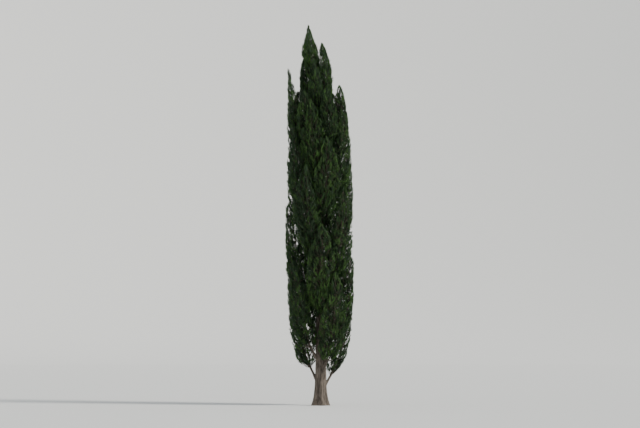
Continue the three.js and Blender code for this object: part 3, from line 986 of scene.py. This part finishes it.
class CYPRESS_OT_limbs(bpy.types.Operator):
    """Makes the boughs and the stems that they carry on into the plumes"""

    bl_idname = "cypress.limbs"
    bl_label = "Limbs"

    def execute(self, context):
        tree = context.scene.cypress_tree

        # A limb's radius is its stem's, times a few sines for knots and a collar that fades from the trunk
        paths, radii = [], []
        for plume in PLUMES:
            z = np.linspace(plume.foot, plume.foot + STEM_END * (plume.top - plume.foot), LIMB_STEPS)
            paths.append(on_stem(plume, z))
            knots = 1 + sum(depth * np.sin(z / length + turn * plume.azimuth)
                            for depth, length, turn in LIMB_KNOTS)
            out = np.hypot(*(plume.middle(z) - axis(z)).T) - trunk_radius(z)
            collar = 1 + COLLAR * np.exp(-np.clip(out, 0, None) / COLLAR_LENGTH)
            radii.append(plume.stem_radius(z) * knots * collar)
        paths = np.stack(paths)
        points, faces = tubes(paths, np.stack(radii), LIMB_SIDES)
        paint = bark_paint("limb_bark", tree.bark_light, tree.bark_dark, LIMB_GRAIN, unrolled=True)
        piece = make_mesh("limb_bark", points, faces, [paint], smooth=True)
        unroll(piece, self.place(paths))
        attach(piece, "root")
        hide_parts(*["bough_%d" % (k + 1) for k in range(BOUGHS)])
        return {"FINISHED"}

    def place(self, paths):
        """A place for each point of the limbs, as on upright rods side by side: round the rod, and as high
        as the length of limb below."""
        step = np.linalg.norm(np.diff(paths, axis=1, prepend=paths[:, :1]), axis=-1)
        ring = turn_steps(LIMB_SIDES)
        place = np.zeros((len(paths), LIMB_STEPS * LIMB_SIDES + 2, 3))
        place[:, :-2, 0] = np.tile(STEM_FOOT_RADIUS * np.cos(ring), LIMB_STEPS)
        place[:, :-2, 1] = np.tile(STEM_FOOT_RADIUS * np.sin(ring), LIMB_STEPS)
        place[:, :-2, 2] = np.repeat(np.cumsum(step, 1), LIMB_SIDES, axis=1)
        place[:, -1, 2] = step.sum(1)
        place[..., 0] += (LIMB_APART * np.arange(len(paths)))[:, None]
        return place.reshape(-1, 3)


def all_growth(tree):
    """The growth of every plume, by the tree's settings."""
    return [grow(k, tree.twig_density, tree.spray_length / MM) for k in range(len(PLUMES))]


class CYPRESS_OT_twigs(bpy.types.Operator):
    """Makes the twigs, the shoots that they carry and the stalks of the inner sprays"""

    bl_idname = "cypress.twigs"
    bl_label = "Twigs"

    def execute(self, context):
        tree = context.scene.cypress_tree
        parts = all_growth(tree)
        twigs = np.concatenate([growth.twigs for growth in parts])
        u = np.linspace(0, 1, len(TWIG_RADII))[None, :]
        radii = np.broadcast_to(TWIG_RADII, (len(twigs), len(TWIG_RADII)))
        stout = tubes(bend(twigs, u), radii, TWIG_SIDES)
        thin = np.concatenate([growth.shoots for growth in parts] + [growth.stalks for growth in parts])
        paint = bark_paint("twig_bark", tree.twig_light, tree.twig_dark, TWIG_GRAIN)
        piece = make_mesh("twigs", *joined([stout, spikes(thin, SHOOT_RADIUS)]), [paint])
        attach(piece, "root")
        return {"FINISHED"}


class CYPRESS_OT_sprays(bpy.types.Operator):
    """Makes the sprays of scale leaves, in pieces of several plumes each"""

    bl_idname = "cypress.sprays"
    bl_label = "Sprays"

    def execute(self, context):
        tree = context.scene.cypress_tree
        parts = all_growth(tree)
        paints = [leaf_paint("leaf_" + tone, tuple(getattr(tree, tone))) for tone in TONES]
        counts = np.array([len(growth.sprays) for growth in parts])
        group = np.minimum(SPRAY_PIECES - 1, (np.cumsum(counts) - 1) * SPRAY_PIECES // counts.sum())
        for k in range(SPRAY_PIECES):
            members = np.flatnonzero(group == k)
            rng = np.random.default_rng(SPRAY_SEED + k)
            made, slots = [], []
            for m in members:
                growth = parts[m]
                made.append(sprays(growth.sprays, SPRAY_BLADES, SPRAY_WIDTH, rng))
                slots.append(np.repeat(self.tones(m, growth, rng), BLADE_FACES * SPRAY_BLADES))
                made.append(sprays(growth.inner, INNER_BLADES, INNER_WIDTH, rng))
                # The inner sprays take only the two darkest greens, shade and deep: painted shade inside the
                # crown
                deep = (rng.random(len(growth.inner)) < INNER_DEEP_SHARE).astype(int)
                slots.append(np.repeat(deep, BLADE_FACES * INNER_BLADES))
            points, faces = joined(made)
            piece = make_mesh("sprays_%d" % (k + 1), points, faces, paints, np.concatenate(slots))
            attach(piece, "root")
            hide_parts(*[PLUMES[m].name for m in members])
        return {"FINISHED"}

    def tones(self, index, growth, rng):
        """The colour slot of each spray: darker inside, as painted shade and older foliage, lighter outside,
        as painted light and young tips, and each plume and each tuft a little its own. Some take the waxy
        grey, more of them on a few plumes."""
        own = (index * PLUME_TONE_STEP + PLUME_TONE_START) % 1
        tuft = np.repeat(rng.normal(0, TONE_OF_TUFT, len(growth.twigs)), SHOOTS * SPRAYS_PER_SHOOT)
        # Painted shade and painted light: the nearer a spray ends to its plume's middle, the darker its
        # green
        level = TONE_OF_DEPTH * (growth.depth - DARKEST_DEPTH) + TONE_OF_PLUME * own + TONE_BASE
        level = level + tuft + rng.normal(0, TONE_OF_SPRAY, len(growth.depth))
        slots = np.clip(np.floor(level), 0, GREY - 1).astype(int)
        waxy = rng.random(len(slots)) < GREY_SHARE + GREY_PLUME_SHARE * (own > GREY_PLUMES)
        return np.where(waxy & (slots > 1), GREY, slots)


class CYPRESS_OT_stage(bpy.types.Operator):
    """Makes the floor, the light and the camera"""

    bl_idname = "cypress.stage"
    bl_label = "Stage"

    def execute(self, context):
        stage = context.scene.cypress_stage
        self.floor(stage)
        self.lights(context.scene, stage)
        self.camera(context.scene, stage)
        return {"FINISHED"}

    def floor(self, stage):
        """A flat disc that curves up into a low wall far out: its height is a smooth step of the radius."""
        radius, angle = np.meshgrid(FLOOR_RADII, turn_steps(FLOOR_SIDES), indexing="ij")
        rise = np.clip((radius - FLOOR_FLAT) / FLOOR_CURVE, 0, 1)
        height = FLOOR_WALL * rise * rise * (3 - 2 * rise)
        wall = np.stack([radius * np.cos(angle), radius * np.sin(angle), height], -1).reshape(-1, 3)
        faces = wall_faces(len(FLOOR_RADII), FLOOR_SIDES)[:, ::-1]
        side = np.arange(FLOOR_SIDES)
        hub = np.stack([np.full(FLOOR_SIDES, len(wall)), side, (side + 1) % FLOOR_SIDES], -1)
        points = np.concatenate([wall, [[0, 0, 0]]]) / MM
        paint = Paint("floor")
        paint.feed("Base Color", (*stage.floor_colour, 1))
        paint.feed("Roughness", 0.9)
        floor = make_mesh("floor", points, np.concatenate([faces, hub]), [paint.material], smooth=True)

    def lights(self, scene, stage):
        """A broad soft light from the right and a little in front, and a pale sky all round."""
        sun = bpy.data.lights.new("key", "SUN")
        sun.energy = stage.key_strength
        sun.angle = math.radians(KEY_BREADTH)
        sun.color = KEY_COLOUR
        key = bpy.data.objects.new("key", sun)
        key.rotation_euler = [math.radians(turn) for turn in KEY_TURN]
        scene.collection.objects.link(key)
        world = bpy.data.worlds.new("sky")
        world.use_nodes = True
        back = world.node_tree.nodes["Background"]
        back.inputs["Color"].default_value = (*SKY_COLOUR, 1)
        back.inputs["Strength"].default_value = stage.fill_strength
        scene.world = world

    def camera(self, scene, stage):
        """A distant camera in front of the tree, low down, that looks at its middle."""
        lens = bpy.data.cameras.new("camera")
        lens.lens = stage.lens
        lens.clip_end = 1000
        camera = bpy.data.objects.new("camera", lens)
        middle = HEIGHT / 2 * MM
        tilt = math.atan2(middle - stage.camera_height, stage.camera_distance)
        camera.location = (0, -stage.camera_distance, stage.camera_height)
        camera.rotation_euler = (math.pi / 2 + tilt, 0, 0)
        scene.collection.objects.link(camera)
        scene.camera = camera


class CYPRESS_PT_panel(bpy.types.Panel):
    """Lists the settings and the steps."""

    bl_idname = "CYPRESS_PT_panel"
    bl_label = "Pencil Cypress"
    bl_space_type = "VIEW_3D"
    bl_region_type = "UI"
    bl_category = "Cypress"

    def draw(self, context):
        for group in (context.scene.cypress_tree, context.scene.cypress_stage):
            for name in group.bl_rna.properties.keys():
                if name not in ("rna_type", "name"):
                    self.layout.prop(group, name)
        for operator in OPERATORS:
            self.layout.operator(operator.bl_idname)


OPERATORS = (CYPRESS_OT_trunk, CYPRESS_OT_limbs, CYPRESS_OT_twigs, CYPRESS_OT_sprays, CYPRESS_OT_stage)
CLASSES = (TreeSettings, StageSettings, *OPERATORS, CYPRESS_PT_panel)


def register():
    """Registers the classes and gives the scene their settings."""
    for made in CLASSES:
        bpy.utils.register_class(made)
    bpy.types.Scene.cypress_tree = bpy.props.PointerProperty(type=TreeSettings)
    bpy.types.Scene.cypress_stage = bpy.props.PointerProperty(type=StageSettings)


def unregister():
    """Takes back what register does."""
    del bpy.types.Scene.cypress_stage
    del bpy.types.Scene.cypress_tree
    for made in reversed(CLASSES):
        bpy.utils.unregister_class(made)


def main():
    register()
    bpy.ops.cypress.trunk()
    bpy.ops.cypress.limbs()
    bpy.ops.cypress.twigs()
    bpy.ops.cypress.sprays()
    bpy.ops.cypress.stage()


if __name__ == "__main__":
    main()
